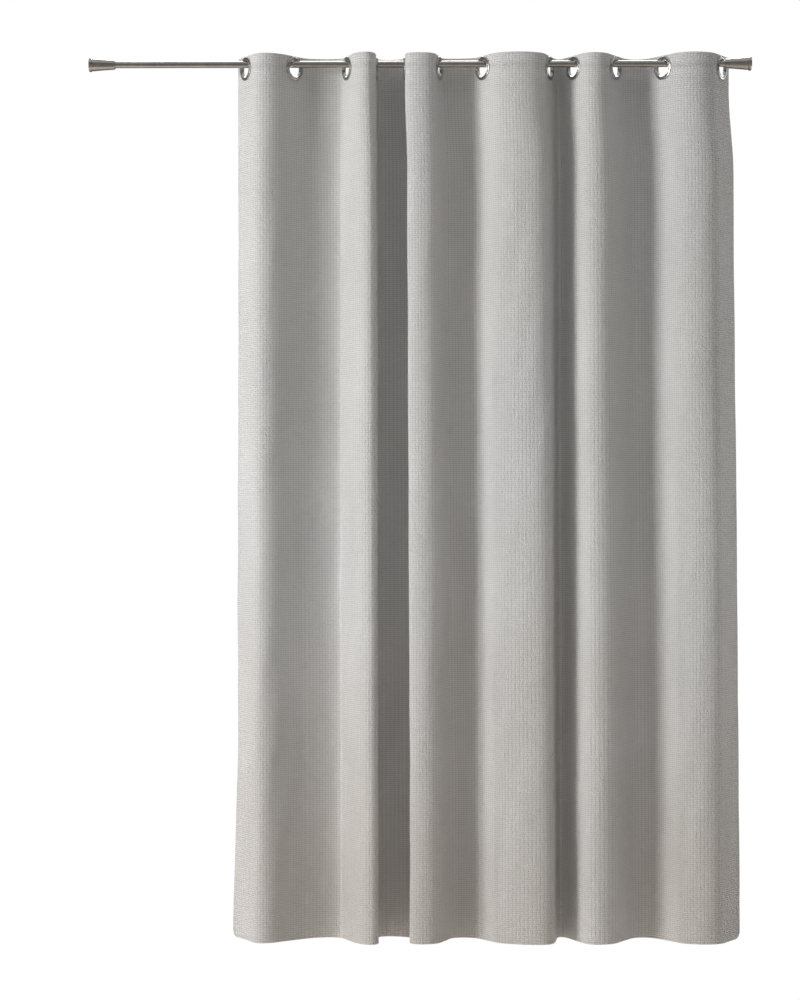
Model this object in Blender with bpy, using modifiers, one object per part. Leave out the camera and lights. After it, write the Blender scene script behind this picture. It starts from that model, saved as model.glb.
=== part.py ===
"""Eyelet curtain panel hanging in folds on a tubular rod with two flared finials.

Metres, +Z up. The origin is on the rod's axis, halfway along the tube. +X runs along the rod to the
viewer's right, -Y faces the room and +Y faces the wall.
"""

import math

import bmesh
import bpy
from mathutils import Matrix, Vector

# ---- driving dimensions -------------------------------------------------------------------------
ROD_LENGTH = 1.524
ROD_RADIUS = 0.00795
ROD_WALL = 0.0010

FINIAL_LENGTH = 0.0535
FINIAL_NECK_RADIUS = 0.0113
FINIAL_MOUTH_RADIUS = 0.0154
FINIAL_SOCKET_DEPTH = 0.0265
FINIAL_WEB = 0.0060
FINIAL_CUP_RADIUS = 0.0120
FINIAL_CHAMFER = 0.0006
FINIAL_FLARE = 1.15
CAP_RADIUS = 0.0172
CAP_THICKNESS = 0.0092
CAP_PLUG_DEPTH = 0.0060
CAP_GROOVE = 0.0012
CAP_STEP = 0.0008
SCREW_RADIUS = 0.0020
SCREW_PLACE = 0.0100
SCREW_CHAMFER = 0.0005
SCREW_RECESS_RADIUS = 0.0010

CURTAIN_DROP = 2.134
HUNG_RUN = 1.145
FLAP_LEFT = 0.068
FLAP_RIGHT = 0.047
CLOTH_THICKNESS = 0.0008
STIFFENER_THICKNESS = 0.0006
HEADING_DEPTH = 0.080
STIFFENER_DEPTH = 0.076
BOTTOM_HEM_DEPTH = 0.040
SIDE_HEM_WIDTH = 0.016
HEM_THICKNESS = 0.0012

EYELET_INNER_RADIUS = 0.0200
EYELET_OUTER_RADIUS = 0.0283
EYELET_BARREL_WALL = 0.0008
EYELET_FACE_HEIGHT = 0.0026
EYELET_BACK_HEIGHT = 0.0022
EYELET_MARGIN = 0.0020
EYELET_FLAT_MARGIN = 0.0015

GAP = 0.0003
LAST_EYELET_CLEARANCE = 0.0095

# One row for each eyelet, left to right: its place along the run from the first eyelet to the last,
# and the angle in degrees at which the cloth crosses the rod there; then the same two for the place
# where that stretch of cloth crosses the rod's plane at the bottom hem.
FOLD_STATIONS = (
    (0.000, 60, 0.002, 60),
    (0.101, 50, 0.100, 34),
    (0.213, 66, 0.215, 60),
    (0.274, 88, 0.278, 94),
    (0.335, 88, 0.346, 94),
    (0.406, 75, 0.421, 66),
    (0.499, 56, 0.508, 54),
    (0.638, 68, 0.652, 82),
    (0.690, 59, 0.694, 64),
    (0.777, 58, 0.796, 58),
    (0.878, 52, 0.893, 51),
    (1.000, 59, 1.019, 58),
)
# One row for each fold, left to right, starting with a fold towards the room: how far it stands off
# the rod's axis at the top and at the bottom, and how far its crest leans along the run at each.
FOLDS = (
    (0.047, 0.036, 0.5, 0.7),
    (0.036, 0.038, 0.2, 0.2),
    (0.060, 0.056, 0.1, -0.1),
    (0.050, 0.052, 0.4, 0.4),
    (0.052, 0.050, -0.1, -0.1),
    (0.034, 0.040, 0.0, 0.0),
    (0.058, 0.052, 0.2, -0.45),
    (0.048, 0.048, 0.0, 0.0),
    (0.048, 0.050, 0.1, 0.1),
    (0.052, 0.046, 0.0, 0.0),
    (0.052, 0.045, 0.35, -0.2),
)
LEAST_CREST = 0.004
HEM_FLAT_HALF = 0.028
FLAP_ENDS_TOP = (85, 72)
FLAP_ENDS_BOTTOM = (100, 40)
CREST_SEGMENTS = 7
FLAP_STEPS = 12
DRAPE_ROWS = 6
RING_SEGMENTS = 20
TURNED_SEGMENTS = 24

# ---- derived places -----------------------------------------------------------------------------
STACK = CLOTH_THICKNESS + GAP + STIFFENER_THICKNESS + GAP + CLOTH_THICKNESS
BARREL_END = STACK + GAP + EYELET_BACK_HEIGHT
BARREL_MIDDLE = (BARREL_END - GAP - EYELET_FACE_HEIGHT) / 2
FLAT_HALF = EYELET_OUTER_RADIUS + EYELET_FLAT_MARGIN
FACET_SHARE = math.cos(math.pi / RING_SEGMENTS)
CLOTH_HOLE_RADIUS = (EYELET_INNER_RADIUS + EYELET_BARREL_WALL + GAP) / FACET_SHARE


def hang_drop(beta):
    """How far below the rod's axis an eyelet's centre hangs, its barrel a gap clear of the rod."""
    barrel = EYELET_INNER_RADIUS * FACET_SHARE - GAP
    half_length = (BARREL_END + GAP + EYELET_FACE_HEIGHT) / 2
    drop = barrel
    for end in (-half_length, half_length):
        for k in range(181):
            around = math.radians(2 * k)
            sideways = ROD_RADIUS * math.cos(around)
            along = (end - sideways * math.cos(beta)) / math.sin(beta)
            across = sideways * math.sin(beta) - along * math.cos(beta)
            drop = min(drop, math.sqrt(barrel**2 - across**2) - ROD_RADIUS * math.sin(around))
    return drop


EYELET_Z = -min(hang_drop(math.radians(row[1])) for row in FOLD_STATIONS)
TOP_Z = EYELET_Z + EYELET_OUTER_RADIUS + EYELET_MARGIN
BOTTOM_Z = TOP_Z - CURTAIN_DROP
FINIAL_X = ROD_LENGTH / 2 + GAP - FINIAL_SOCKET_DEPTH
LAST_EYELET_X = FINIAL_X - LAST_EYELET_CLEARANCE
FIRST_EYELET_X = LAST_EYELET_X - HUNG_RUN

MATERIALS = {
    "cloth": ((0.58, 0.57, 0.55), 0.90, 0.0),
    "buckram": ((0.80, 0.79, 0.75), 0.95, 0.0),
    "nickel": ((0.33, 0.32, 0.31), 0.35, 1.0),
    "dark_steel": ((0.12, 0.12, 0.12), 0.45, 1.0),
}


# ---- scene and materials ------------------------------------------------------------------------
def clear_scene():
    for item in list(bpy.data.objects):
        bpy.data.objects.remove(item, do_unlink=True)


def new_collection(name):
    collection = bpy.data.collections.new(name)
    bpy.context.scene.collection.children.link(collection)
    return collection


def new_material(owner, kind):
    """A Principled BSDF material of the given kind, belonging to one sub-part."""
    colour, roughness, metallic = MATERIALS[kind]
    material = bpy.data.materials.new(f"{owner}_{kind}")
    material.use_nodes = True
    shader = material.node_tree.nodes["Principled BSDF"]
    shader.inputs["Base Color"].default_value = (*colour, 1.0)
    shader.inputs["Roughness"].default_value = roughness
    shader.inputs["Metallic"].default_value = metallic
    return material


def add_object(name, mesh, kind, parent=None):
    item = bpy.data.objects.new(name, mesh)
    PARTS.objects.link(item)
    item.data.materials.append(new_material(name, kind))
    item.parent = parent
    return item


def add_empty(name, place):
    """An empty that carries a moving group; place is its world matrix."""
    empty = bpy.data.objects.new(name, None)
    empty.empty_display_size = 0.02
    empty.matrix_world = place
    PARTS.objects.link(empty)
    return empty


def shade(item):
    item.data.shade_smooth()
    item.data.set_sharp_from_angle(angle=math.radians(40))


# ---- turned pieces ------------------------------------------------------------------------------
def clockwise(profile):
    """The closed profile, turned so that its outer side runs down, as the Screw modifier needs."""
    area = sum(a[0] * b[1] - b[0] * a[1] for a, b in zip(profile, profile[1:] + profile[:1]))
    return profile if area < 0 else profile[::-1]


def turned(name, profile, kind, parent, segments=TURNED_SEGMENTS):
    """A closed (radius, height) profile swept round the local Z axis."""
    profile = clockwise(list(profile))
    count = len(profile)
    on_axis = [radius < 1e-9 for radius, _ in profile]
    edges = [
        (k, (k + 1) % count)
        for k in range(count)
        if not (on_axis[k] and on_axis[(k + 1) % count])
    ]
    mesh = bpy.data.meshes.new(name)
    mesh.from_pydata([(radius, 0, height) for radius, height in profile], edges, [])
    item = add_object(name, mesh, kind, parent)
    screw = item.modifiers.new("turn", "SCREW")
    screw.axis = "Z"
    screw.steps = segments
    screw.render_steps = segments
    screw.use_merge_vertices = True
    screw.merge_threshold = 0.00001
    screw.use_smooth_shade = True
    return item


def arc(centre, radius, start, end, steps):
    """Points of a round stretch of a profile, angles in degrees."""
    angles = [math.radians(start + (end - start) * k / steps) for k in range(steps + 1)]
    return [(centre[0] + radius * math.cos(a), centre[1] + radius * math.sin(a)) for a in angles]


def cutter(name, matrices, radius, length, segments):
    """One hidden object of equal cylinders, each centred on a matrix and lying along its Z."""
    mesh_edit = bmesh.new()
    for matrix in matrices:
        bmesh.ops.create_cone(
            mesh_edit,
            cap_ends=True,
            segments=segments,
            radius1=radius,
            radius2=radius,
            depth=length,
            matrix=matrix,
        )
    mesh = bpy.data.meshes.new(name)
    mesh_edit.to_mesh(mesh)
    mesh_edit.free()
    item = bpy.data.objects.new(name, mesh)
    CUTTERS.objects.link(item)
    item.hide_render = True
    item.display_type = "WIRE"
    return item


def cut(item, tool):
    boolean = item.modifiers.new(tool.name, "BOOLEAN")
    boolean.operation = "DIFFERENCE"
    boolean.solver = "EXACT"
    boolean.object = tool


# ---- the rod and its finials --------------------------------------------------------------------
def along_x(x, direction):
    """A frame whose Z points along +X or -X at the given place on the rod's axis, X pointing up."""
    z_axis = Vector((direction, 0, 0))
    x_axis = Vector((0, 0, 1))
    y_axis = z_axis.cross(x_axis)
    columns = Matrix((x_axis, y_axis, z_axis)).transposed().to_4x4()
    return Matrix.Translation((x, 0, 0)) @ columns


def make_rod():
    inner = ROD_RADIUS - ROD_WALL
    half = ROD_LENGTH / 2
    empty = add_empty("rod_frame", along_x(0, 1))
    profile = [(ROD_RADIUS, half), (ROD_RADIUS, -half), (inner, -half), (inner, half)]
    shade(turned("rod_tube", profile, "nickel", empty))


def make_finial(side, direction):
    """A flared finial, its local Z pointing away from the tube and its origin at its neck's edge."""
    empty = add_empty(f"finial_{side}_frame", along_x(direction * FINIAL_X, direction))
    bore = ROD_RADIUS + GAP
    chamfer = FINIAL_CHAMFER
    cup_floor = FINIAL_SOCKET_DEPTH + FINIAL_WEB
    body_profile = [
        (bore, 0),
        (FINIAL_NECK_RADIUS - chamfer, 0),
        (FINIAL_NECK_RADIUS, chamfer),
        *[
            (
                FINIAL_NECK_RADIUS + (FINIAL_MOUTH_RADIUS - FINIAL_NECK_RADIUS) * share**FINIAL_FLARE,
                chamfer + (FINIAL_LENGTH - chamfer) * share,
            )
            for share in (0.25, 0.5, 0.75, 1.0)
        ],
        (FINIAL_CUP_RADIUS, FINIAL_LENGTH),
        (FINIAL_CUP_RADIUS, cup_floor),
        (0, cup_floor),
        (0, FINIAL_SOCKET_DEPTH),
        (bore, FINIAL_SOCKET_DEPTH),
    ]
    body = turned(f"finial_{side}_body", body_profile, "nickel", empty)

    base = FINIAL_LENGTH + GAP
    plug = FINIAL_CUP_RADIUS - GAP
    edge = CAP_THICKNESS / 3
    top = base + CAP_THICKNESS
    cap_profile = [
        (0, base - CAP_PLUG_DEPTH),
        (plug, base - CAP_PLUG_DEPTH),
        (plug, base),
        (FINIAL_MOUTH_RADIUS - CAP_STEP, base),
        (FINIAL_MOUTH_RADIUS - CAP_STEP, base + CAP_GROOVE),
        *arc((CAP_RADIUS - edge, base + CAP_GROOVE + edge), edge, -70, 0, 2),
        *arc((CAP_RADIUS - edge, top - edge), edge, 0, 90, 3),
        (0, top),
    ]
    shade(turned(f"finial_{side}_cap", cap_profile, "nickel", empty))

    inward = Matrix.Translation((-(bore + FINIAL_NECK_RADIUS) / 2, 0, SCREW_PLACE))
    inward = inward @ Matrix.Rotation(math.radians(90), 4, "Y")
    hole = cutter(
        f"finial_{side}_screw_hole",
        [empty.matrix_world @ inward],
        SCREW_RADIUS + GAP,
        2 * (FINIAL_NECK_RADIUS - bore),
        16,
    )
    cut(body, hole)
    shade(body)

    wall = FINIAL_NECK_RADIUS - bore
    tip = SCREW_CHAMFER
    recess = SCREW_RECESS_RADIUS
    screw_profile = [
        (0, -wall / 2),
        (SCREW_RADIUS - tip, -wall / 2),
        (SCREW_RADIUS, -wall / 2 + tip),
        (SCREW_RADIUS, wall / 2 - tip),
        (recess, wall / 2 - tip),
        (recess, 0),
        (0, 0),
    ]
    screw = turned(f"finial_{side}_screw", screw_profile, "dark_steel", empty, segments=12)
    screw.matrix_local = inward @ Matrix.Rotation(math.pi, 4, "X")
    shade(screw)


# ---- the folded line of the cloth, seen from above ----------------------------------------------
def bezier(p0, p1, p2, p3, share):
    rest = 1 - share
    return p0 * rest**3 + p1 * 3 * rest**2 * share + p2 * 3 * rest * share**2 + p3 * share**3


def station_frames(place, angle, mid_shift):
    """For each eyelet: the cloth's front-face point where it crosses the rod, and its direction."""
    frames = []
    for number, row in enumerate(FOLD_STATIONS):
        beta = math.radians(row[angle])
        to_wall = 1 if number % 2 else -1
        direction = Vector((math.cos(beta), to_wall * math.sin(beta)))
        backward = Vector((-direction.y, direction.x))
        centre = Vector((FIRST_EYELET_X + HUNG_RUN * row[place], 0))
        frames.append((centre - backward * mid_shift, direction))
    return frames


def flap_point(start, heading, turn, flat, length, distance):
    """A point on an end flap: straight for the flat length, then turning evenly to its edge."""
    point = start.copy()
    for k in range(FLAP_STEPS):
        middle = distance * (k + 0.5) / FLAP_STEPS
        share = max(0.0, middle - flat) / max(length - flat, 1e-6)
        angle = heading + turn * share
        point += Vector((math.cos(angle), math.sin(angle))) * (distance / FLAP_STEPS)
    return point


def flap_columns(flat, length):
    """Distances from the eyelet's centre to each column of a flap, and those of its side hem."""
    hem = length - SIDE_HEM_WIDTH
    return sorted({flat, hem, length - SIDE_HEM_WIDTH / 2, length})


def folded_line(place, angle, depth, flat, flap_ends, mid_shift):
    """The cloth's front face as a list of points from its left edge to its right edge."""
    frames = station_frames(place, angle, mid_shift)
    line = []

    first, direction = frames[0]
    heading = math.atan2(-direction.y, -direction.x)
    turn = math.radians(flap_ends[0]) - heading
    for top_distance in reversed(flap_columns(FLAT_HALF, FLAP_LEFT)):
        distance = flat + (top_distance - FLAT_HALF) * (FLAP_LEFT - flat) / (FLAP_LEFT - FLAT_HALF)
        line.append(flap_point(first, heading, turn, flat, FLAP_LEFT, distance))

    for number in range(len(frames) - 1):
        here, go = frames[number]
        there, come = frames[number + 1]
        start = here + go * flat
        end = there - come * flat
        side = 1 if number % 2 else -1
        base = side * (start.y + end.y) / 2
        lean = FOLDS[number][2 + depth]
        rise = 0.375 * (abs(go.y) * (1 + lean) + abs(come.y) * (1 - lean))
        reach = max(FOLDS[number][depth] - base, LEAST_CREST) / rise
        leaving = start + go * reach * (1 + lean)
        arriving = end - come * reach * (1 - lean)
        for k in range(CREST_SEGMENTS + 1):
            share = k / CREST_SEGMENTS
            line.append(bezier(start, leaving, arriving, end, share))

    last, direction = frames[-1]
    heading = math.atan2(direction.y, direction.x)
    turn = math.radians(flap_ends[1]) - heading
    for top_distance in flap_columns(FLAT_HALF, FLAP_RIGHT):
        distance = flat + (top_distance - FLAT_HALF) * (FLAP_RIGHT - flat) / (FLAP_RIGHT - FLAT_HALF)
        line.append(flap_point(last, heading, turn, flat, FLAP_RIGHT, distance))
    return line


def offset_line(line, distance):
    """The line moved towards its back by the distance, mitred at each point."""
    moved = []
    for k, point in enumerate(line):
        before = (point - line[k - 1]).normalized() if k else None
        after = (line[k + 1] - point).normalized() if k + 1 < len(line) else None
        before = before or after
        after = after or before
        along = (before + after).normalized()
        normal = Vector((-along.y, along.x))
        moved.append(point + normal * (distance / along.dot(before)))
    return moved


def smooth(share):
    share = min(max(share, 0.0), 1.0)
    return share * share * (3 - 2 * share)


# ---- cloth layers -------------------------------------------------------------------------------
def cloth_layer(name, kind, depth, thickness, heights, columns=None):
    """A sheet that follows the folds: depth is how far its front lies behind the cloth's face."""
    heading_end = TOP_Z - HEADING_DEPTH - GAP
    hem_start = BOTTOM_Z + BOTTOM_HEM_DEPTH + GAP
    rows = []
    for height in heights:
        share = smooth((heading_end - height) / (heading_end - hem_start))
        line = [top.lerp(low, share) for top, low in zip(TOP_LINE, BOTTOM_LINE)]
        line = offset_line(line, depth)
        rows.append(line[columns] if columns else line)
    mesh_edit = bmesh.new()
    across = len(rows[0]) - 1
    bmesh.ops.create_grid(mesh_edit, x_segments=across, y_segments=len(rows) - 1, size=1)
    mesh_edit.verts.ensure_lookup_table()
    for index, vert in enumerate(mesh_edit.verts):
        row, column = divmod(index, across + 1)
        vert.co = (*rows[row][column], heights[row])
    mesh = bpy.data.meshes.new(name)
    mesh_edit.to_mesh(mesh)
    mesh_edit.free()
    item = add_object(name, mesh, kind)
    shell = item.modifiers.new("thickness", "SOLIDIFY")
    shell.thickness = thickness
    shell.offset = -1
    shell.use_even_offset = True
    return item


def drape_heights(low, high, rows):
    return [low + (high - low) * k / rows for k in range(rows + 1)]


def hem_columns(length, at_left):
    """The slice of the line's columns that a side hem covers."""
    distances = flap_columns(FLAT_HALF, length)
    inside = [d for d in distances if d >= length - SIDE_HEM_WIDTH - 1e-9]
    return slice(0, len(inside)) if at_left else slice(-len(inside), None)


def make_cloth():
    heading_end = TOP_Z - HEADING_DEPTH - GAP
    hem_start = BOTTOM_Z + BOTTOM_HEM_DEPTH + GAP
    drape = drape_heights(hem_start, heading_end, DRAPE_ROWS)
    second = CLOTH_THICKNESS + GAP
    third = second + STIFFENER_THICKNESS + GAP
    panel = cloth_layer(
        "curtain_panel", "cloth", 0, CLOTH_THICKNESS, [BOTTOM_Z, *drape, TOP_Z]
    )
    stiffener = cloth_layer(
        "heading_stiffener",
        "buckram",
        second,
        STIFFENER_THICKNESS,
        [TOP_Z - STIFFENER_DEPTH, TOP_Z - 2 * GAP],
    )
    facing = cloth_layer(
        "heading_facing", "cloth", third, CLOTH_THICKNESS, [TOP_Z - HEADING_DEPTH, TOP_Z]
    )
    for side, length in (("left", FLAP_LEFT), ("right", FLAP_RIGHT)):
        cloth_layer(
            f"side_hem_{side}",
            "cloth",
            second,
            HEM_THICKNESS,
            drape,
            hem_columns(length, side == "left"),
        )
    cloth_layer(
        "bottom_hem", "cloth", second, HEM_THICKNESS, [BOTTOM_Z, BOTTOM_Z + BOTTOM_HEM_DEPTH]
    )
    holes = cutter(
        "eyelet_holes",
        [frame @ Matrix.Translation((0, 0, STACK / 2)) for frame in EYELET_FRAMES],
        CLOTH_HOLE_RADIUS,
        4 * STACK,
        RING_SEGMENTS,
    )
    for layer in (panel, stiffener, facing):
        cut(layer, holes)


# ---- eyelets ------------------------------------------------------------------------------------
def eyelet_frames():
    """Each eyelet's frame: Z from the cloth's front face to its back, X up."""
    frames = []
    for point, direction in station_frames(0, 1, BARREL_MIDDLE):
        backward = Vector((-direction.y, direction.x, 0))
        up = Vector((0, 0, 1))
        columns = Matrix((up, backward.cross(up), backward)).transposed().to_4x4()
        frames.append(Matrix.Translation((point.x, point.y, EYELET_Z)) @ columns)
    return frames


def crown(inner, outer, start, height, steps):
    """The rounded face of a ring from its outer edge to its inner edge, rising by the height."""
    middle = (inner + outer) / 2
    half = (outer - inner) / 2
    angles = [math.pi * k / steps for k in range(1, steps)]
    return [(middle + half * math.cos(a), start + height * math.sin(a)) for a in angles]


def make_eyelet(number, place):
    empty = add_empty(f"eyelet_{number:02d}_frame", place)
    barrel = EYELET_INNER_RADIUS + EYELET_BARREL_WALL
    front_profile = [
        (barrel, -GAP),
        (EYELET_OUTER_RADIUS, -GAP),
        *crown(EYELET_INNER_RADIUS, EYELET_OUTER_RADIUS, -GAP, -EYELET_FACE_HEIGHT, 4),
        (EYELET_INNER_RADIUS, -GAP),
        (EYELET_INNER_RADIUS, BARREL_END),
        (barrel, BARREL_END),
    ]
    front = turned(
        f"eyelet_{number:02d}_front", front_profile, "nickel", empty, segments=RING_SEGMENTS
    )
    shade(front)
    base = STACK + GAP
    back_profile = [
        (barrel + GAP, base),
        (EYELET_OUTER_RADIUS, base),
        *crown(barrel + GAP, EYELET_OUTER_RADIUS, base, EYELET_BACK_HEIGHT, 4),
    ]
    back = turned(
        f"eyelet_{number:02d}_back", back_profile, "nickel", empty, segments=RING_SEGMENTS
    )
    shade(back)


clear_scene()
PARTS = new_collection("eyelet_curtain_panel")
CUTTERS = new_collection("cutters")
TOP_LINE = folded_line(0, 1, 0, FLAT_HALF, FLAP_ENDS_TOP, BARREL_MIDDLE)
BOTTOM_LINE = folded_line(2, 3, 1, HEM_FLAT_HALF, FLAP_ENDS_BOTTOM, 0)
EYELET_FRAMES = eyelet_frames()

make_rod()
make_finial("left", -1)
make_finial("right", 1)
make_cloth()
for index, frame in enumerate(EYELET_FRAMES, 1):
    make_eyelet(index, frame)
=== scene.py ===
"""Looks of an eyelet curtain panel hanging in folds on a tubular rod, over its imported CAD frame.

Metres, +Z up. +X runs along the rod to the viewer's right, -Y faces the room, +Y faces the wall.
"""
import math

import bmesh
import bpy
import numpy as np
from mathutils import Matrix, Vector


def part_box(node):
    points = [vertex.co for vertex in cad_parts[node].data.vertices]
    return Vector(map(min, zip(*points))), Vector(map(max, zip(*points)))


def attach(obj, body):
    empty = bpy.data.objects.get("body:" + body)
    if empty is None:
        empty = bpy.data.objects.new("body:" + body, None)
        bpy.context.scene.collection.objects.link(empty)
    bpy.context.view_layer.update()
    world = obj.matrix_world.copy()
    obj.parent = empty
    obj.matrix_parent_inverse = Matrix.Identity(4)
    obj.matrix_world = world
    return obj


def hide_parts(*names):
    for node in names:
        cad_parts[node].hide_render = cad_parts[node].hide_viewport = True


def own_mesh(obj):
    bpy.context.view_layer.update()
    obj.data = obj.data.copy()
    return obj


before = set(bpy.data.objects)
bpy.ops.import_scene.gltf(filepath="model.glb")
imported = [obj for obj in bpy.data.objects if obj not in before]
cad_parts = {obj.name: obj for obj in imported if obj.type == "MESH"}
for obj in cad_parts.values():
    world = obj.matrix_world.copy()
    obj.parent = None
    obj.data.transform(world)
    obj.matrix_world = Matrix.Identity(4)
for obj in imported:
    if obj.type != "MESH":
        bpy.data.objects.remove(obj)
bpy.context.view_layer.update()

# ---- sizes that the CAD frame was built with ----------------------------------------------------
# One row for each eyelet, left to right: place along the run and angle of the cloth at the rod,
# then the same two at the bottom hem.
FOLD_STATIONS = (
    (0.000, 60, 0.002, 60),
    (0.101, 50, 0.100, 34),
    (0.213, 66, 0.215, 60),
    (0.274, 88, 0.278, 94),
    (0.335, 88, 0.346, 94),
    (0.406, 75, 0.421, 66),
    (0.499, 56, 0.508, 54),
    (0.638, 68, 0.652, 82),
    (0.690, 59, 0.694, 64),
    (0.777, 58, 0.796, 58),
    (0.878, 52, 0.893, 51),
    (1.000, 59, 1.019, 58),
)
# One row for each fold, left to right, starting with a fold towards the room: how far it stands off
# the rod's axis at the top and at the bottom, and how far its crest leans along the run at each.
FOLDS = (
    (0.047, 0.036, 0.5, 0.7),
    (0.036, 0.038, 0.2, 0.2),
    (0.060, 0.056, 0.1, -0.1),
    (0.050, 0.052, 0.4, 0.4),
    (0.052, 0.050, -0.1, -0.1),
    (0.034, 0.040, 0.0, 0.0),
    (0.058, 0.052, 0.2, -0.45),
    (0.048, 0.048, 0.0, 0.0),
    (0.048, 0.050, 0.1, 0.1),
    (0.052, 0.046, 0.0, 0.0),
    (0.052, 0.045, 0.35, -0.2),
)
HUNG_RUN = 1.145
LAST_EYELET_CLEARANCE = 0.0095
FLAP_LEFT = 0.068
FLAP_RIGHT = 0.047
FLAP_ENDS_TOP = (85, 72)
FLAP_ENDS_BOTTOM = (100, 40)
LEAST_CREST = 0.004
HEM_FLAT_HALF = 0.028
HEADING_DEPTH = 0.080
BOTTOM_HEM_DEPTH = 0.040
SIDE_HEM_WIDTH = 0.016
STACK = 0.0028
GAP = 0.0003
EYELET_INNER_RADIUS = 0.0200
EYELET_OUTER_RADIUS = 0.0283
EYELET_BARREL_WALL = 0.0008
EYELET_FACE_HEIGHT = 0.0026
EYELET_BACK_HEIGHT = 0.0022
EYELET_FLAT_MARGIN = 0.0015
FLAT_HALF = EYELET_OUTER_RADIUS + EYELET_FLAT_MARGIN
BARREL_END = STACK + GAP + EYELET_BACK_HEIGHT
BARREL_MIDDLE = (BARREL_END - GAP - EYELET_FACE_HEIGHT) / 2

LAST_EYELET_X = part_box("finial_right_body")[0].x - LAST_EYELET_CLEARANCE
FIRST_EYELET_X = LAST_EYELET_X - HUNG_RUN
TOP_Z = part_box("curtain_panel")[1].z
BOTTOM_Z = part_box("curtain_panel")[0].z
RING_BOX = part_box("eyelet_01_front")
EYELET_Z = (RING_BOX[0].z + RING_BOX[1].z) / 2
ALL_IN_CLOTH = (
    "curtain_panel",
    "heading_stiffener",
    "heading_facing",
    "side_hem_left",
    "side_hem_right",
    "bottom_hem",
)

# ---- how the cloth is laid out ------------------------------------------------------------------
# The shown surface runs through the middle of the cloth, and turns at the top, hem and sides.
CLOTH_MIDDLE = 0.0004
TOP_TURN = 0.0010
BOTTOM_TURN = 0.0010
SIDE_TURN = 0.0004
RAW_EDGE_TUCK = 0.0007
HOLE_RADIUS = EYELET_INNER_RADIUS + 0.0027
# The mesh: columns across, close rows at the heading and the hem, long ones between.
COLUMN_STEP = 0.0049
HEADING_ROW = 0.0047
LONG_ROW = 0.0245
HEADING_ROWS_BELOW = 0.012
HEM_ROWS_ABOVE = 0.05
HEM_TURN_CLEAR = 0.006
SIDE_HEM_START = 0.0015
EDGE_CLEAR = 0.002
TINY = 1e-6
# How the hem differs from the heading: it eases early, flares at the left and has round corners.
HEM_SOFTENING = 24
EASED_EARLY = 0.45
EARLY_DROP = 0.10
FLARE_FROM = 1.60
FLARE_LEFT = 0.013
FLARE_CURVE = 1.5
CORNER_RADIUS = 0.017
CORNER_FADE = 0.075
# Height of the waves, ripples and creases of hung cloth, and the drops over which they start.
SWAY_HEIGHT = 0.0007
RIPPLE_HEIGHT = 0.00032
CREASE_HEIGHT = 0.00007
EVEN_BELOW_HEADING = 0.45
CREASE_START = 0.3
EVEN_AT_HEM = 0.12
HEM_CALM = 0.6

# ---- sewing -------------------------------------------------------------------------------------
# Each kind of stitch: pitch, share of the pitch that shows, radius of the thread.
LOCKSTITCH = (0.0036, 0.72, 0.00028)
BLIND_STITCH = (0.0108, 0.10, 0.00022)
STITCH_INSET = 0.0025
STITCH_LIFT = 0.0001
# Along a stitch: share of its length, rise and thickness, both in thread radii.
STITCH_ARCH = ((0.0, -0.6, 0.6), (0.2, 0.55, 1.0), (0.8, 0.55, 1.0), (1.0, -0.6, 0.6))
THREAD_SIDES = 5
THREAD_FLATNESS = 0.8

# ---- eyelets ------------------------------------------------------------------------------------
# The front flange between its rim and its lip: distance in from the rim, and depth below its face.
FLANGE_CROWN = (
    (0.0022, 0.00035),
    (0.0032, 0.00010),
    (0.0042, 0.00012),
    (0.0052, 0.00045),
    (0.0059, 0.00085),
    (0.0062, 0.00105),
    (0.0064, 0.00085),
)
# The back ring, the same way.
BACK_CROWN = ((0.0024, 0.0002), (0.0038, 0.0), (0.0052, 0.0002), (0.0062, 0.0008))
RIM_RADIUS = 0.0011
BACK_RIM_RADIUS = 0.0010
LIP_RADIUS = 0.0012
RING_SIDES = 72
SHARP_ANGLE = 50

# ---- materials ----------------------------------------------------------------------------------
WEAVE_ALONG = 0.0081
WEAVE_DOWN = 0.0049
YARN_ALONG = 0.00132
YARN_DOWN = 0.00108
KNOB_SCALE = 400.0
GRAIN_SCALE = 620.0
CLOTH_RELIEF = 0.0013
# How far each part of the weave stands out, as shares of the relief.
RIB_HEIGHT = 0.68
CELL_HEIGHT = 1.05
KNOB_HEIGHT = 1.15
GRAIN_HEIGHT = 0.30
YARN_HEIGHT = 0.05
SLUB_HEIGHT = 0.12
CLOTH_COOL = (0.840, 0.836, 0.842, 1.0)
CLOTH_WARM = (0.845, 0.832, 0.815, 1.0)
# Painted shade towards the hem: a darker, warmer cloth colour, faded in between these two heights.
CLOTH_PAINTED_SHADE_AT_HEM = (0.705, 0.672, 0.640, 1.0)
PAINTED_HEM_SHADE_TOP = TOP_Z - 1.0
PAINTED_HEM_SHADE_FULL = BOTTOM_Z - 0.25
RING_TONE = (0.50, 0.49, 0.475)
ROD_TONE = (0.40, 0.375, 0.35)

# ---- floor, light and camera --------------------------------------------------------------------
FLOOR_Z = -3.3
FLOOR_HALF = 4.5
FLOOR_BACK = 1.9
# The surroundings that light the metal and the cloth: place from below to above, and brightness.
SKY_BELOW = (0.15, 0.14, 0.13, 1.0)
SKY_ABOVE = (0.62, 0.62, 0.62, 1.0)
SKY_BANDS = ((0.50, 0.25), (0.575, 0.25), (0.61, 0.06), (0.70, 0.06), (0.76, 0.66))
SKY_POWER = 1.08
# Each light: name, place, what it points at, size and power.
LIGHTS = (
    ("key", (-4.6, -2.6, -0.1), (0.15, 0, -0.9), (1.7, 3.0), 236),
    ("edge", (4.2, 2.0, -0.4), (0.15, 0, -0.9), (1.6, 3.0), 32),
    ("back", (0.3, 3.6, 2.4), (0.15, 0, -1.1), (3.2, 1.6), 170),
)
CAMERA_LENS = 85.05
CAMERA_AIM = (-0.0476, 0.0, -1.0512)
CAMERA_TURN = 0.7
CAMERA_DISTANCE = 5.7


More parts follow.
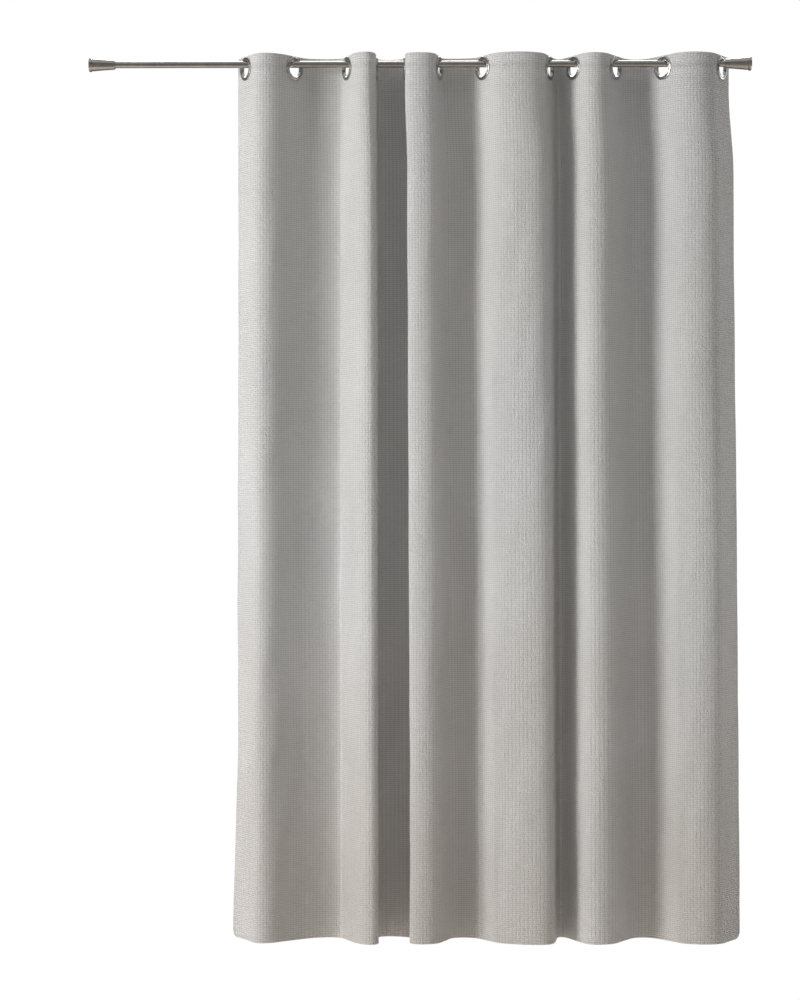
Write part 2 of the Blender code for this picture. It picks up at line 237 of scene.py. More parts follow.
# ---- the folded line of the cloth, seen from above ----------------------------------------------
def bezier(p0, p1, p2, p3, share):
    rest = 1 - share
    return p0 * rest**3 + p1 * 3 * rest**2 * share + p2 * 3 * rest * share**2 + p3 * share**3


def station_frames(place, angle, mid_shift):
    """For each eyelet: the point where the cloth's face crosses the rod, and its direction.

    place and angle are columns of FOLD_STATIONS.
    """
    frames = []
    for number, row in enumerate(FOLD_STATIONS):
        beta = math.radians(row[angle])
        to_wall = 1 if number % 2 else -1
        direction = np.array((math.cos(beta), to_wall * math.sin(beta)))
        backward = np.array((-direction[1], direction[0]))
        centre = np.array((FIRST_EYELET_X + HUNG_RUN * row[place], 0.0))
        frames.append((centre - backward * mid_shift, direction))
    return frames


def flap_line(start, heading, turn, flat, length, steps):
    """Points from an end eyelet outwards: straight for the flat length, then turning evenly."""
    points = [start]
    point = start.copy()
    fine = 8
    for k in range(steps * fine):
        middle = length * (k + 0.5) / (steps * fine)
        share = max(0.0, middle - flat) / max(length - flat, TINY)
        angle = heading + turn * share
        point = point + np.array((math.cos(angle), math.sin(angle))) * (length / (steps * fine))
        if (k + 1) % fine == 0:
            points.append(point)
    return points


def folded_line(place, angle, depth, flat, flap_ends, mid_shift):
    """Dense points from the left edge to the right edge, and the index of each eyelet's point.

    place and angle are columns of FOLD_STATIONS. depth is the column of FOLDS with how far a fold
    stands off, and its lean is two columns on.
    """
    flap_steps, flat_steps, crest_steps = 60, 16, 80
    frames = station_frames(place, angle, mid_shift)
    first, direction = frames[0]
    heading = math.atan2(-direction[1], -direction[0])
    turn = math.radians(flap_ends[0]) - heading
    line = flap_line(first, heading, turn, flat, FLAP_LEFT, flap_steps)[::-1]
    eyelets = [len(line) - 1]
    for number in range(len(frames) - 1):
        here, go = frames[number]
        there, come = frames[number + 1]
        start = here + go * flat
        end = there - come * flat
        side = 1 if number % 2 else -1
        base = side * (start[1] + end[1]) / 2
        lean = FOLDS[number][2 + depth]
        rise = 0.375 * (abs(go[1]) * (1 + lean) + abs(come[1]) * (1 - lean))
        reach = max(FOLDS[number][depth] - base, LEAST_CREST) / rise
        leaving = start + go * reach * (1 + lean)
        arriving = end - come * reach * (1 - lean)
        line += [here + (start - here) * k / flat_steps for k in range(1, flat_steps)]
        line += [
            bezier(start, leaving, arriving, end, k / crest_steps)
            for k in range(crest_steps + 1)
        ]
        line += [end + (there - end) * k / flat_steps for k in range(1, flat_steps + 1)]
        eyelets.append(len(line) - 1)
    last, direction = frames[-1]
    heading = math.atan2(direction[1], direction[0])
    turn = math.radians(flap_ends[1]) - heading
    line += flap_line(last, heading, turn, flat, FLAP_RIGHT, flap_steps)[1:]
    return np.array(line), eyelets


def softened(line, passes):
    """The line with its corners eased. A pass draws each point half way to its neighbours."""
    line = line.copy()
    for _ in range(passes):
        line[1:-1] = line[1:-1] / 2 + (line[:-2] + line[2:]) / 4
    return line


def running_length(points):
    """How far along the line each of its points lies."""
    return np.concatenate([[0], np.cumsum(np.linalg.norm(np.diff(points, axis=0), axis=1))])


TOP_LINE, EYELET_POINTS = folded_line(
    place=0, angle=1, depth=0, flat=FLAT_HALF, flap_ends=FLAP_ENDS_TOP, mid_shift=BARREL_MIDDLE
)
LOW_LINE, _ = folded_line(
    place=2, angle=3, depth=1, flat=HEM_FLAT_HALF, flap_ends=FLAP_ENDS_BOTTOM, mid_shift=0
)
LOW_LINE = softened(LOW_LINE, HEM_SOFTENING)
TOP_ALONG = running_length(TOP_LINE)
LOW_ALONG = running_length(LOW_LINE)
WIDTH = float(TOP_ALONG[-1])
EYELET_ALONG = TOP_ALONG[EYELET_POINTS]
TOP_HEADING = np.gradient(TOP_LINE, TOP_ALONG, axis=0)
LOW_HEADING = np.gradient(LOW_LINE, LOW_ALONG, axis=0)


def at(values, along):
    """The line's values read at distances along it."""
    return np.stack([np.interp(along, TOP_ALONG, values[:, k]) for k in range(2)], axis=-1)


def smooth(share):
    """Eases from 0 to 1."""
    share = np.clip(share, 0.0, 1.0)
    return share * share * (3 - 2 * share)


# ---- gentle unevenness of hung cloth ------------------------------------------------------------
RANDOM = np.random.default_rng(7)


def wave_set(count, along_range, down_range, tilt):
    """Random sine waves over the cloth: wave numbers along and down, phase and weight."""
    lengths = RANDOM.uniform(*along_range, count)
    drops = RANDOM.uniform(*down_range, count)
    lean = RANDOM.uniform(-tilt, tilt, count)
    phase = RANDOM.uniform(0, 2 * math.pi, count)
    weight = RANDOM.uniform(0.4, 1.0, count)
    weight /= math.sqrt((weight**2).sum() / 2)
    along = 2 * math.pi / lengths
    return along, 2 * math.pi / drops + lean * along, phase, weight


def wave_sum(waves, along, down):
    total = np.zeros(np.broadcast(along, down).shape)
    for k_along, k_down, phase, weight in zip(*waves):
        total += weight * np.sin(along * k_along + down * k_down + phase)
    return total


SWAY = wave_set(9, (0.16, 0.40), (0.7, 2.2), 0.03)
RIPPLE = wave_set(16, (0.045, 0.12), (0.18, 0.55), 0.06)
CREASE = wave_set(24, (0.018, 0.045), (0.05, 0.18), 0.22)


def unevenness(along, down):
    """How far the cloth stands off its plain fold, along its back normal."""
    below = smooth((down - HEADING_DEPTH) / EVEN_BELOW_HEADING)
    near_hem = 1 - HEM_CALM * smooth((down - (TOP_Z - BOTTOM_Z) + EVEN_AT_HEM) / EVEN_AT_HEM)
    push = wave_sum(SWAY, along, down) * SWAY_HEIGHT * below
    push += wave_sum(RIPPLE, along, down) * RIPPLE_HEIGHT * below * near_hem
    push += wave_sum(CREASE, along, down) * CREASE_HEIGHT * smooth(down / CREASE_START)
    return push


def cloth_place(along, height, depth):
    """World points of the cloth: distance along the heading, height, and depth behind its face."""
    down = TOP_Z - height
    heading_end = TOP_Z - HEADING_DEPTH - GAP
    hem_start = BOTTOM_Z + BOTTOM_HEM_DEPTH + GAP
    fallen = (heading_end - height) / (heading_end - hem_start)
    early = smooth(fallen / EARLY_DROP)
    share = (EASED_EARLY * early + (1 - EASED_EARLY) * smooth(fallen))[..., None]
    point = at(TOP_LINE, along) * (1 - share) + at(LOW_LINE, along) * share
    heading = at(TOP_HEADING, along) * (1 - share) + at(LOW_HEADING, along) * share
    heading /= np.linalg.norm(heading, axis=-1, keepdims=True)
    normal = np.stack([-heading[..., 1], heading[..., 0]], axis=-1)
    point = point + normal * (depth + unevenness(along, down))[..., None]
    low = smooth((down - FLARE_FROM) / (TOP_Z - BOTTOM_Z - FLARE_FROM))
    edge = np.clip(1 - along / FLAP_LEFT, 0, 1) ** FLARE_CURVE
    point = point - np.array((FLARE_LEFT, 0)) * (low * edge)[..., None]
    corner = np.minimum(along, WIDTH - along)
    inward = np.clip(1 - corner / CORNER_RADIUS, 0, 1)
    lift = CORNER_RADIUS * (1 - np.sqrt(1 - inward**2))
    raised = height + lift * smooth((BOTTOM_Z + CORNER_FADE - height) / CORNER_FADE)
    return np.concatenate([point, raised[..., None]], axis=-1)


# ---- the cloth, one piece with its turned hems --------------------------------------------------
def turn_angles(steps):
    """Angles round a half turn, without its two ends."""
    return [math.pi * k / steps for k in range(1, steps)]


def cloth_rows():
    """Rows from the facing's lower edge, over the top, down the front, round the hem and up it.

    Each is (turn angle, turn radius, height of the turn's centre or of the row).
    """
    rows = []
    for height in np.arange(TOP_Z - HEADING_DEPTH, TOP_Z - TOP_TURN, HEADING_ROW):
        rows.append((math.pi, TOP_TURN, float(height)))
    for angle in turn_angles(4)[::-1]:
        rows.append((angle, TOP_TURN, TOP_Z - TOP_TURN))
    low = TOP_Z - HEADING_DEPTH - HEADING_ROWS_BELOW
    for height in np.arange(TOP_Z - TOP_TURN, low, -HEADING_ROW):
        rows.append((0.0, TOP_TURN, float(height)))
    bottom = BOTTOM_Z + BOTTOM_TURN
    stretch = low - (bottom + HEM_ROWS_ABOVE)
    count = round(stretch / LONG_ROW)
    for k in range(count):
        rows.append((0.0, 0.0, low - stretch * k / count))
    for height in np.linspace(bottom + HEM_ROWS_ABOVE, bottom + HEM_TURN_CLEAR, 6):
        rows.append((0.0, BOTTOM_TURN, float(height)))
    for angle in [0.0, *turn_angles(5), math.pi]:
        rows.append((angle, BOTTOM_TURN, bottom))
    for height in np.linspace(bottom + HEM_TURN_CLEAR, BOTTOM_Z + BOTTOM_HEM_DEPTH, 5):
        rows.append((math.pi, BOTTOM_TURN, float(height)))
    return rows


def cloth_columns():
    """Columns (distance along, layer offset): the left side hem, the face, the right side hem."""
    turned = np.linspace(SIDE_HEM_WIDTH, SIDE_HEM_START, 5)
    left = [(float(d), 2 * SIDE_TURN) for d in turned]
    left += [
        (SIDE_TURN * (1 - math.sin(a)), SIDE_TURN * (1 - math.cos(a)))
        for a in [math.pi, *turn_angles(4)[::-1], 0.0]
    ]
    count = round(WIDTH / COLUMN_STEP)
    inside = [WIDTH * k / count for k in range(1, count)]
    face = [(d, 0.0) for d in inside if EDGE_CLEAR < d < WIDTH - EDGE_CLEAR]
    right = [(WIDTH - d, offset) for d, offset in left[::-1]]
    return left + face + right


def cloth_sheet():
    """The cloth's mesh with its eyelet holes, and its flat width and length."""
    rows = cloth_rows()
    columns = cloth_columns()
    angle = np.array([r[0] for r in rows])[:, None]
    radius = np.array([r[1] for r in rows])[:, None]
    centre = np.array([r[2] for r in rows])[:, None]
    along = np.array([c[0] for c in columns])[None, :]
    layer = np.array([c[1] for c in columns])[None, :]
    along, layer, angle, radius, centre = np.broadcast_arrays(along, layer, angle, radius, centre)
    number = np.arange(len(rows))[:, None]
    up = np.where(number < len(rows) / 2, 1.0, -1.0)
    turning = radius - layer
    depth = CLOTH_MIDDLE + np.where(radius > 0, radius - turning * np.cos(angle), layer)
    turned = np.abs(np.sin(angle)) > TINY
    height = centre + up * turning * np.sin(angle) * turned
    depth = depth - RAW_EDGE_TUCK * ((number == 0) | (number == len(rows) - 1))

    keep = np.ones((len(rows) - 1, len(columns) - 1), bool)
    flat = ~turned & (height > TOP_Z - HEADING_DEPTH - HEADING_ROWS_BELOW)
    for middle in EYELET_ALONG:
        far = np.hypot(along - middle, height - EYELET_Z)
        inside = (far < HOLE_RADIUS) & flat
        keep &= ~(inside[:-1, :-1] & inside[1:, :-1] & inside[:-1, 1:] & inside[1:, 1:])
        push = np.where(inside & (far > TINY), HOLE_RADIUS / np.maximum(far, TINY), 1.0)
        along = middle + (along - middle) * push
        height = EYELET_Z + (height - EYELET_Z) * push
    grid = cloth_place(along, height, depth)
    points = grid.reshape(-1, 3)

    across = len(columns)
    faces = [
        (r * across + c, (r + 1) * across + c, (r + 1) * across + c + 1, r * across + c + 1)
        for r in range(len(rows) - 1)
        for c in range(across - 1)
        if keep[r, c]
    ]
    row_steps = np.linalg.norm(np.diff(grid, axis=0), axis=-1).mean(axis=1)
    flat_down = np.concatenate([[0], np.cumsum(row_steps)])
    flat_across = np.concatenate([[0], np.cumsum(np.abs(np.diff([c[0] for c in columns])))])
    used = np.unique(np.array(faces))
    index = np.full(len(points), -1)
    index[used] = np.arange(len(used))
    mesh = bpy.data.meshes.new("curtain_cloth")
    mesh.from_pydata(points[used].tolist(), [], index[np.array(faces)].tolist())
    uv = mesh.uv_layers.new(name="weave")
    row_of = used // across
    column_of = used % across
    loops = np.empty(len(mesh.loops), np.int32)
    mesh.loops.foreach_get("vertex_index", loops)
    pair = np.stack([flat_across[column_of], -flat_down[row_of]], axis=1)[loops]
    uv.data.foreach_set("uv", pair.astype(np.float32).ravel())
    mesh.shade_smooth()
    return mesh, float(flat_across[-1]), float(flat_down[-1])


def linked(name, data):
    item = bpy.data.objects.new(name, data)
    bpy.context.scene.collection.objects.link(item)
    return item


def coat(item, material):
    item.data.materials.clear()
    item.data.materials.append(material)


def add(name, mesh, material, body):
    """A shown piece: linked, given its material, and riding on its body."""
    item = linked(name, mesh)
    coat(item, material)
    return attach(item, body)


# ---- stitches and turned metal as meshes --------------------------------------------------------
def stitch_mesh(name, starts, ends, outward, thread):
    """Short rounded threads, each from a start to an end point, arched along its outward vector."""
    edit = bmesh.new()
    turns = [2 * math.pi * k / THREAD_SIDES for k in range(THREAD_SIDES)]
    for start, end, out in zip(starts, ends, outward):
        side = (end - start).normalized().cross(out).normalized()
        rings = []
        for share, rise, size in STITCH_ARCH:
            middle = start.lerp(end, share) + out * (thread * rise)
            wide = side * (thread * size)
            high = out * (thread * size * THREAD_FLATNESS)
            rings.append(
                [edit.verts.new(middle + wide * math.cos(a) + high * math.sin(a)) for a in turns]
            )
        for low, high in zip(rings, rings[1:]):
            for k in range(THREAD_SIDES):
                after = (k + 1) % THREAD_SIDES
                edit.faces.new((low[k], low[after], high[after], high[k]))
        edit.faces.new(rings[0][::-1])
        edit.faces.new(rings[-1])
    return finished_mesh(name, edit)


def finished_mesh(name, edit):
    bmesh.ops.recalc_face_normals(edit, faces=edit.faces)
    mesh = bpy.data.meshes.new(name)
    edit.to_mesh(mesh)
    edit.free()
    mesh.shade_smooth()
    return mesh


def stitch_line(name, along, height, depth, pitch, fill, thread):
    """Stitches along a row of cloth places; depth is negative in front of the face."""
    points = cloth_place(along, height, np.full_like(along, depth))
    inner = cloth_place(along, height, np.full_like(along, depth + math.copysign(0.001, -depth)))
    run = running_length(points)
    begin = np.arange(int(run[-1] / pitch)) * pitch + pitch * (1 - fill) / 2

    def read(where, values):
        return np.stack([np.interp(where, run, values[:, k]) for k in range(3)], axis=1)

    out = read(begin, points - inner)
    out /= np.linalg.norm(out, axis=1, keepdims=True)
    lines = (read(begin, points), read(begin + pitch * fill, points), out)
    return stitch_mesh(name, *([Vector(p) for p in line] for line in lines), thread)


def arc(centre, radius, start, end, steps):
    """Points on an arc, from a start to an end angle in degrees."""
    angles = [math.radians(start + (end - start) * k / steps) for k in range(steps + 1)]
    return [(centre[0] + radius * math.cos(a), centre[1] + radius * math.sin(a)) for a in angles]


def lathe(name, profile):
    """A closed (radius, height) profile, off the axis all round, swept round the local Z axis."""
    edit = bmesh.new()
    turns = [2 * math.pi * k / RING_SIDES for k in range(RING_SIDES)]
    loops = [
        [edit.verts.new((radius * math.cos(a), radius * math.sin(a), height)) for a in turns]
        for radius, height in profile
    ]
    for low, high in zip(loops, loops[1:] + loops[:1]):
        for k in range(RING_SIDES):
            after = (k + 1) % RING_SIDES
            edit.faces.new((low[k], low[after], high[after], high[k]))
    mesh = finished_mesh(name, edit)
    mesh.set_sharp_from_angle(angle=math.radians(SHARP_ANGLE))
    return mesh


def ring_profile():
    """The eyelet's front: a crowned flange, a shallow groove, a rolled lip and the barrel."""
    base = -GAP
    face = -GAP - EYELET_FACE_HEIGHT
    barrel = EYELET_INNER_RADIUS + EYELET_BARREL_WALL
    outer = EYELET_OUTER_RADIUS
    lip = (EYELET_INNER_RADIUS + LIP_RADIUS, face + LIP_RADIUS)
    profile = [
        (barrel, base),
        (outer - 0.0004, base),
        (outer, base - 0.0003),
        (outer, base - 0.0008),
    ]
    profile += arc((outer - RIM_RADIUS, base - 0.0009), RIM_RADIUS, 0, -65, 4)
    profile += [(outer - inset, face + sunk) for inset, sunk in FLANGE_CROWN]
    profile += arc(lip, LIP_RADIUS, -55, -180, 7)
    profile += [
        (EYELET_INNER_RADIUS, BARREL_END - 0.0006),
        (EYELET_INNER_RADIUS + 0.0002, BARREL_END),
        (barrel, BARREL_END),
    ]
    return profile


def back_profile():
    """The eyelet's back: a low crowned washer round the barrel."""
    base = STACK + GAP
    top = base + EYELET_BACK_HEIGHT
    barrel = EYELET_INNER_RADIUS + EYELET_BARREL_WALL
    outer = EYELET_OUTER_RADIUS
    return [
        (barrel + GAP, base),
        (outer - 0.0004, base),
        (outer, base + 0.0003),
        *arc((outer - BACK_RIM_RADIUS, base + 0.0008), BACK_RIM_RADIUS, 0, 60, 4),
        *((outer - inset, top - sunk) for inset, sunk in BACK_CROWN),
        (barrel + GAP + 0.0003, top - 0.0012),
        (barrel + GAP, top - 0.0016),
    ]


# ---- node graphs --------------------------------------------------------------------------------
class Nodes:
    """A material and its node graph: most calls add a node and return its output."""

    def __init__(self, name):
        self.material = bpy.data.materials.new(name)
        self.material.use_nodes = True
        self.tree = self.material.node_tree
        self.shader = self.tree.nodes["Principled BSDF"]

    def node(self, kind, **settings):
        made = self.tree.nodes.new(kind)
        for key, value in settings.items():
            setattr(made, key, value)
        return made

    def put(self, socket, value):
        if isinstance(value, bpy.types.NodeSocket):
            self.tree.links.new(value, socket)
        elif value is not None:
            socket.default_value = value

    def math(self, operation, a, b=None):
        made = self.node("ShaderNodeMath", operation=operation)
        for socket, value in zip(made.inputs, (a, b)):
            self.put(socket, value)
        return made.outputs[0]

    def times(self, a, b):
        return self.math("MULTIPLY", a, b)

    def plus(self, a, b):
        return self.math("ADD", a, b)

    def split(self, vector):
        made = self.node("ShaderNodeSeparateXYZ")
        self.put(made.inputs[0], vector)
        return made.outputs

    def mix(self, share, a, b, blend="MIX"):
        made = self.node("ShaderNodeMix", data_type="RGBA", blend_type=blend)
        self.put(made.inputs[0], share)
        self.put(made.inputs[6], a)
        self.put(made.inputs[7], b)
        return made.outputs[2]

    def noise(self, vector, scale, detail=2.0, roughness=0.5):
        made = self.node("ShaderNodeTexNoise")
        self.put(made.inputs["Vector"], vector)
        made.inputs["Scale"].default_value = scale
        made.inputs["Detail"].default_value = detail
        made.inputs["Roughness"].default_value = roughness
        return made.outputs["Fac"]

    def scaled(self, vector, x, y, z):
        made = self.node("ShaderNodeVectorMath", operation="MULTIPLY")
        self.put(made.inputs[0], vector)
        made.inputs[1].default_value = (x, y, z)
        return made.outputs[0]

    def remap(self, value, low, high, to_low=0.0, to_high=1.0, kind="LINEAR"):
        made = self.node("ShaderNodeMapRange", interpolation_type=kind)
        for socket, item in zip(made.inputs, (value, low, high, to_low, to_high)):
            self.put(socket, item)
        return made.outputs[0]

    def object_vector(self):
        return self.node("ShaderNodeTexCoord").outputs["Object"]

    def finish(self, colour, roughness, height=None, relief=None, **inputs):
        """Sets the shader: colour, roughness, a bump of this relief, and other inputs by name."""
        self.put(self.shader.inputs["Base Color"], colour)
        self.put(self.shader.inputs["Roughness"], roughness)
        if relief:
            made = self.node("ShaderNodeBump")
            made.inputs["Strength"].default_value = 1.0
            made.inputs["Distance"].default_value = relief
            self.put(made.inputs["Height"], height)
            self.put(self.shader.inputs["Normal"], made.outputs[0])
        for name, value in inputs.items():
            self.shader.inputs[name.replace("_", " ")].default_value = value
        return self.material


def cloth_material():
    """Heavy textured weave: fine ribs crossed by narrow grooves, with knobbly cells between."""
    g = Nodes("textured_weave")
    uv = g.node("ShaderNodeUVMap", uv_map="weave").outputs[0]
    along, down, _ = g.split(uv)
    wobble = g.times(g.math("SUBTRACT", g.noise(uv, 90.0), 0.5), 0.0016)
    sway = g.times(g.math("SUBTRACT", g.noise(uv, 150.0), 0.5), 0.0010)
    across = g.math("DIVIDE", g.plus(along, sway), WEAVE_ALONG)
    falling = g.math("DIVIDE", g.plus(down, wobble), WEAVE_DOWN)
    rib = g.math("ABSOLUTE", g.math("SINE", g.times(falling, math.pi)))
    rib = g.math("POWER", rib, 0.8)
    column = g.math("ABSOLUTE", g.math("SINE", g.times(across, math.pi)))
    column = g.math("POWER", column, 0.35)
    knob = g.noise(g.scaled(uv, 1.0, 1.25, 1.0), KNOB_SCALE, 1.0)
    knob = g.remap(knob, 0.40, 0.60)
    grain = g.noise(g.scaled(uv, 1.0, 1.35, 1.0), GRAIN_SCALE, 2.0, 0.6)
    slub = g.noise(g.scaled(uv, 30.0, 700.0, 1.0), 1.0)
    patchy = g.remap(g.noise(g.scaled(uv, 9.0, 3.0, 1.0), 1.0), 0.3, 0.7, 0.85, 1.15)
    yarn_down = g.math("SINE", g.times(down, 2 * math.pi / YARN_DOWN))
    yarn_along = g.math("SINE", g.times(along, 2 * math.pi / YARN_ALONG))
    cell = g.times(column, g.plus(g.times(rib, 0.45), 0.55))
    height = g.plus(g.times(rib, RIB_HEIGHT), g.times(cell, CELL_HEIGHT))
    for relief, share in (
        (g.times(knob, patchy), KNOB_HEIGHT),
        (grain, GRAIN_HEIGHT),
        (g.times(yarn_down, yarn_along), YARN_HEIGHT),
        (slub, SLUB_HEIGHT),
    ):
        height = g.plus(height, g.times(relief, share))

    tint = g.remap(g.noise(g.scaled(uv, 3.0, 1.2, 1.0), 1.0), 0.35, 0.65)
    colour = g.mix(tint, CLOTH_COOL, CLOTH_WARM)
    # Painted shade: the colour is mixed towards a darker, warmer one further down the cloth,
    # unevenly by the tint noise.
    up = g.split(g.object_vector())[2]
    low = g.remap(up, PAINTED_HEM_SHADE_TOP, PAINTED_HEM_SHADE_FULL, kind="SMOOTHSTEP")
    painted_hem_shade_share = g.times(low, g.remap(tint, 0.0, 1.0, 0.75, 1.15))
    colour = g.mix(painted_hem_shade_share, colour, CLOTH_PAINTED_SHADE_AT_HEM)
    # Painted shade: the valleys between the ribs and the grooves between the columns are painted
    # darker. Fleck and speck are the yarn's own uneven tone.
    painted_rib_shade = g.remap(rib, 0.1, 0.9, 0.83, 1.03)
    groove = g.remap(column, 0.35, 0.85, 0.84, 1.0)
    fleck = g.remap(slub, 0.3, 0.7, 0.965, 1.03)
    speck = g.remap(knob, 0.0, 1.0, 0.955, 1.03)
    shade = g.times(g.times(painted_rib_shade, groove), g.times(fleck, speck))
    grey = g.node("ShaderNodeCombineColor")
    for socket in grey.inputs:
        g.put(socket, shade)
    return g.finish(
        g.mix(1.0, colour, grey.outputs[0], "MULTIPLY"),
        g.remap(grain, 0.3, 0.7, 0.82, 0.96),
        height,
        CLOTH_RELIEF,
        Sheen_Weight=0.10,
        Sheen_Roughness=0.45,
        Specular_IOR_Level=0.22,
    )


def thread_material():
    """Twisted sewing thread, darker than the cloth."""
    g = Nodes("sewing_thread")
    twist = g.noise(g.object_vector(), 2600.0)
    colour = g.mix(g.remap(twist, 0.3, 0.7), (0.50, 0.49, 0.48, 1.0), (0.66, 0.65, 0.64, 1.0))
    return g.finish(colour, 0.7, twist, 0.0001, Sheen_Weight=0.2)


def nickel_material(name, grain_scale, tone, rough):
    """Satin dark nickel: fine brushing, faint smudges, slightly uneven plating."""
    g = Nodes(name)
    vector = g.object_vector()
    brush = g.noise(g.scaled(vector, *grain_scale), 1.0, 3.0, 0.6)
    smudge = g.noise(vector, 55.0, 3.0, 0.55)
    plating = g.noise(vector, 14.0)
    dark = (*(v * 0.86 for v in tone), 1.0)
    light = (*(v * 1.10 for v in tone), 1.0)
    share = g.plus(g.times(brush, 0.5), g.times(plating, 0.5))
    colour = g.mix(g.remap(share, 0.35, 0.65), dark, light)
    worn = g.remap(smudge, 0.3, 0.7, rough - 0.05, rough + 0.07)
    roughness = g.plus(worn, g.remap(brush, 0.3, 0.7, -0.04, 0.04))
    return g.finish(colour, roughness, brush, 0.00002, Metallic=1.0)


def steel_material():
    """Blackened set screws."""
    g = Nodes("blackened_steel")
    mottle = g.noise(g.object_vector(), 900.0, 3.0)
    share = g.remap(mottle, 0.3, 0.7)
    colour = g.mix(share, (0.07, 0.07, 0.075, 1.0), (0.14, 0.135, 0.13, 1.0))
    return g.finish(colour, g.remap(mottle, 0.3, 0.7, 0.35, 0.55), mottle, 0.00003, Metallic=1.0)


CLOTH = cloth_material()
THREAD = thread_material()
RING_NICKEL = nickel_material("satin_nickel_ring", (220.0, 220.0, 1200.0), RING_TONE, 0.22)
ROD_NICKEL = nickel_material("satin_nickel_rod", (700.0, 30.0, 30.0), ROD_TONE, 0.17)
FINIAL_NICKEL = nickel_material("satin_nickel_finial", (60.0, 60.0, 900.0), ROD_TONE, 0.17)
STEEL = steel_material()


# ---- pieces -------------------------------------------------------------------------------------
def squashed(item):
    """The item gets its own copy of its mesh."""
    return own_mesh(item)


def make_cloth():
    """The cloth and its stitches, and the flat size of the cloth."""
    mesh, flat_width, flat_length = cloth_sheet()
    cloth = add("curtain_cloth", mesh, CLOTH, "curtain")
    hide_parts(*ALL_IN_CLOTH)
    face = np.linspace(SIDE_HEM_WIDTH * 0.2, WIDTH - SIDE_HEM_WIDTH * 0.2, 1400)
    level = np.full_like(face, TOP_Z - HEADING_DEPTH + STITCH_INSET)
    hem_level = np.full_like(face, BOTTOM_Z + BOTTOM_HEM_DEPTH - STITCH_INSET)
    seam_ends = (TOP_Z - HEADING_DEPTH - EDGE_CLEAR, BOTTOM_Z + BOTTOM_HEM_DEPTH + EDGE_CLEAR)
    drop = np.linspace(*seam_ends, 500)
    left = np.full_like(drop, SIDE_HEM_WIDTH - STITCH_INSET)
    on_heading = CLOTH_MIDDLE + 2 * TOP_TURN + STITCH_LIFT
    on_hem = CLOTH_MIDDLE + 2 * BOTTOM_TURN + STITCH_LIFT
    on_side = CLOTH_MIDDLE + 2 * SIDE_TURN + STITCH_LIFT
    sewing = [
        ("heading_stitches_front", face, level, -STITCH_LIFT, *LOCKSTITCH),
        ("heading_stitches_back", face, level, on_heading, *LOCKSTITCH),
        ("hem_stitches_back", face, hem_level, on_hem, *LOCKSTITCH),
        ("hem_stitches_front", face, hem_level, CLOTH_MIDDLE - 2 * STITCH_LIFT, *BLIND_STITCH),
        ("side_stitches_left", left, drop, on_side, *LOCKSTITCH),
        ("side_stitches_right", WIDTH - left, drop, on_side, *LOCKSTITCH),
    ]
    stitches = []
    for name, *rest in sewing:
        stitches.append(add(name, stitch_line(name, *rest), THREAD, "curtain"))
    for item in [cloth, *stitches]:
        squashed(item)
    return cloth, stitches, (flat_width, flat_length)


def make_rings():
    """The eyelets' rings, each set at the cloth's angle where it crosses the rod."""
    front_mesh = lathe("eyelet_front", ring_profile())
    back_mesh = lathe("eyelet_back", back_profile())
    for number, (point, direction) in enumerate(station_frames(0, 1, BARREL_MIDDLE), 1):
        backward = Vector((-direction[1], direction[0], 0))
        up = Vector((0, 0, 1))
        columns = Matrix((up, backward.cross(up), backward)).transposed().to_4x4()
        place = Matrix.Translation((point[0], point[1], EYELET_Z)) @ columns
        body = "curtain" if number == len(FOLD_STATIONS) else f"eyelet_{number:02d}"
        for part, mesh in (("front", front_mesh), ("back", back_mesh)):
            name = f"eyelet_{number:02d}_{part}_ring"
            item = linked(name, mesh.copy())
            item.matrix_world = place
            item.data.materials.append(RING_NICKEL)
            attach(item, body)
            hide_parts(f"eyelet_{number:02d}_{part}")
            squashed(item)


cloth, stitches, flat_size = make_cloth()
make_rings()
for node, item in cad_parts.items():
    if node == "rod_tube":
        coat(item, ROD_NICKEL)
    elif node.startswith("finial"):
        coat(item, STEEL if node.endswith("screw") else FINIAL_NICKEL)


# ---- the room -----------------------------------------------------------------------------------
def pointed(item, place, aim):
    item.location = place
    item.rotation_mode = "QUATERNION"
    item.rotation_quaternion = (Vector(aim) - Vector(place)).to_track_quat("-Z", "Y")


def area_light(name, place, aim, size, power):
    data = bpy.data.lights.new(name, "AREA")
    data.shape = "RECTANGLE"
    data.size, data.size_y = size
    data.energy = power
    pointed(linked(name, data), place, aim)


def make_floor():
    """A pale floor, as far back as the wall."""
    mesh = bpy.data.meshes.new("floor")
    corners = [
        (-FLOOR_HALF, -FLOOR_HALF, FLOOR_Z),
        (FLOOR_HALF, -FLOOR_HALF, FLOOR_Z),
        (FLOOR_HALF, FLOOR_BACK, FLOOR_Z),
        (-FLOOR_HALF, FLOOR_BACK, FLOOR_Z),
    ]
    mesh.from_pydata(corners, [], [(0, 1, 2, 3)])
    item = linked("floor", mesh)
    g = Nodes("pale_floor")
    share = g.remap(g.noise(g.object_vector(), 1.5), 0.3, 0.7)
    colour = g.mix(share, (0.78, 0.735, 0.68, 1.0), (0.82, 0.775, 0.715, 1.0))
    coat(item, g.finish(colour, 0.85))


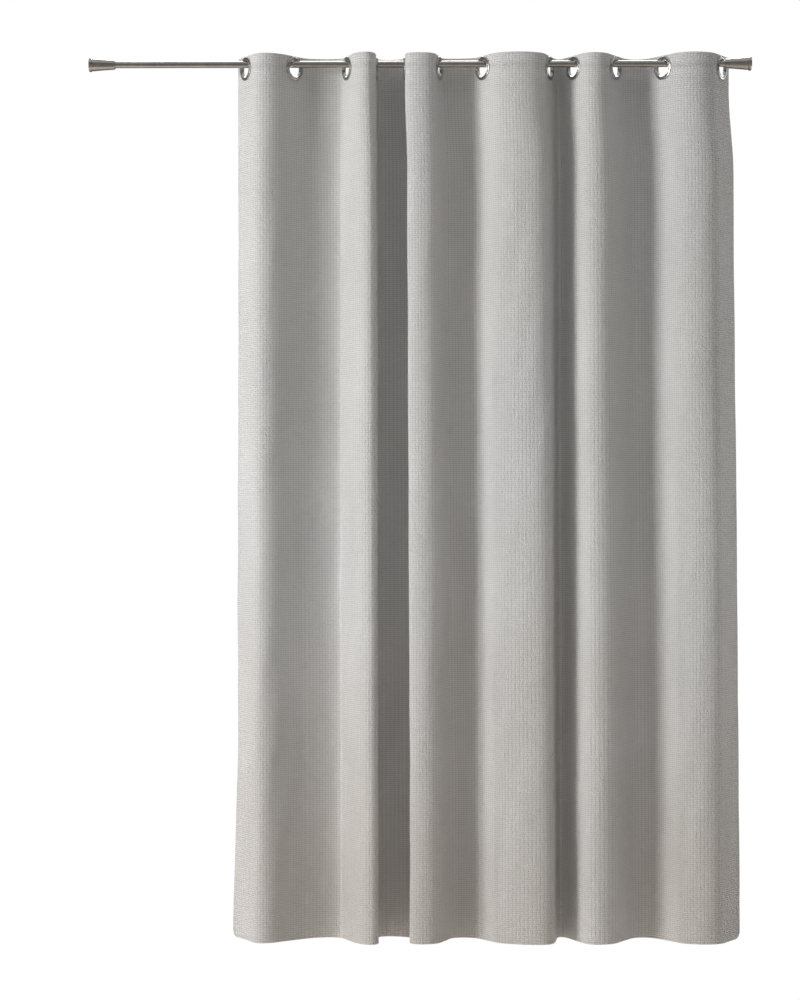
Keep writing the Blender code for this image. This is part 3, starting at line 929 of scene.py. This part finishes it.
def make_world():
    """White where the camera sees it, and a graded studio where it lights the object."""
    world = bpy.data.worlds.new("studio")
    bpy.context.scene.world = world
    world.use_nodes = True
    tree = world.node_tree
    tree.nodes.clear()
    out = tree.nodes.new("ShaderNodeOutputWorld")
    both = tree.nodes.new("ShaderNodeMixShader")
    rays = tree.nodes.new("ShaderNodeLightPath")
    seen = tree.nodes.new("ShaderNodeBackground")
    seen.inputs[0].default_value = (1.0, 1.0, 1.0, 1.0)
    seen.inputs[1].default_value = 1.0
    lit = tree.nodes.new("ShaderNodeBackground")
    facing = tree.nodes.new("ShaderNodeTexCoord")
    parts = tree.nodes.new("ShaderNodeSeparateXYZ")
    tone = tree.nodes.new("ShaderNodeValToRGB")
    height = tree.nodes.new("ShaderNodeMapRange")
    height.inputs[1].default_value = -1.0
    tree.links.new(facing.outputs["Generated"], parts.inputs[0])
    tree.links.new(parts.outputs[2], height.inputs[0])
    tree.links.new(height.outputs[0], tone.inputs[0])
    ramp = tone.color_ramp
    ramp.elements[0].position = 0.0
    ramp.elements[0].color = SKY_BELOW
    ramp.elements[1].position = 1.0
    ramp.elements[1].color = SKY_ABOVE
    for place, level in SKY_BANDS:
        ramp.elements.new(place).color = (level, level * 0.99, level * 0.98, 1.0)
    tree.links.new(tone.outputs[0], lit.inputs[0])
    lit.inputs[1].default_value = SKY_POWER
    tree.links.new(rays.outputs["Is Camera Ray"], both.inputs[0])
    tree.links.new(lit.outputs[0], both.inputs[1])
    tree.links.new(seen.outputs[0], both.inputs[2])
    tree.links.new(both.outputs[0], out.inputs[0])


def make_camera():
    data = bpy.data.cameras.new("camera")
    data.sensor_width = 36.0
    data.lens = CAMERA_LENS
    item = linked("camera", data)
    aim = Vector(CAMERA_AIM)
    turn = math.radians(CAMERA_TURN)
    away = Vector((math.sin(turn), -math.cos(turn), 0))
    pointed(item, aim + away * CAMERA_DISTANCE, aim)
    bpy.context.scene.camera = item


make_floor()
make_world()
make_camera()
for light in LIGHTS:
    area_light(*light)
bpy.context.scene.view_settings.view_transform = "Standard"
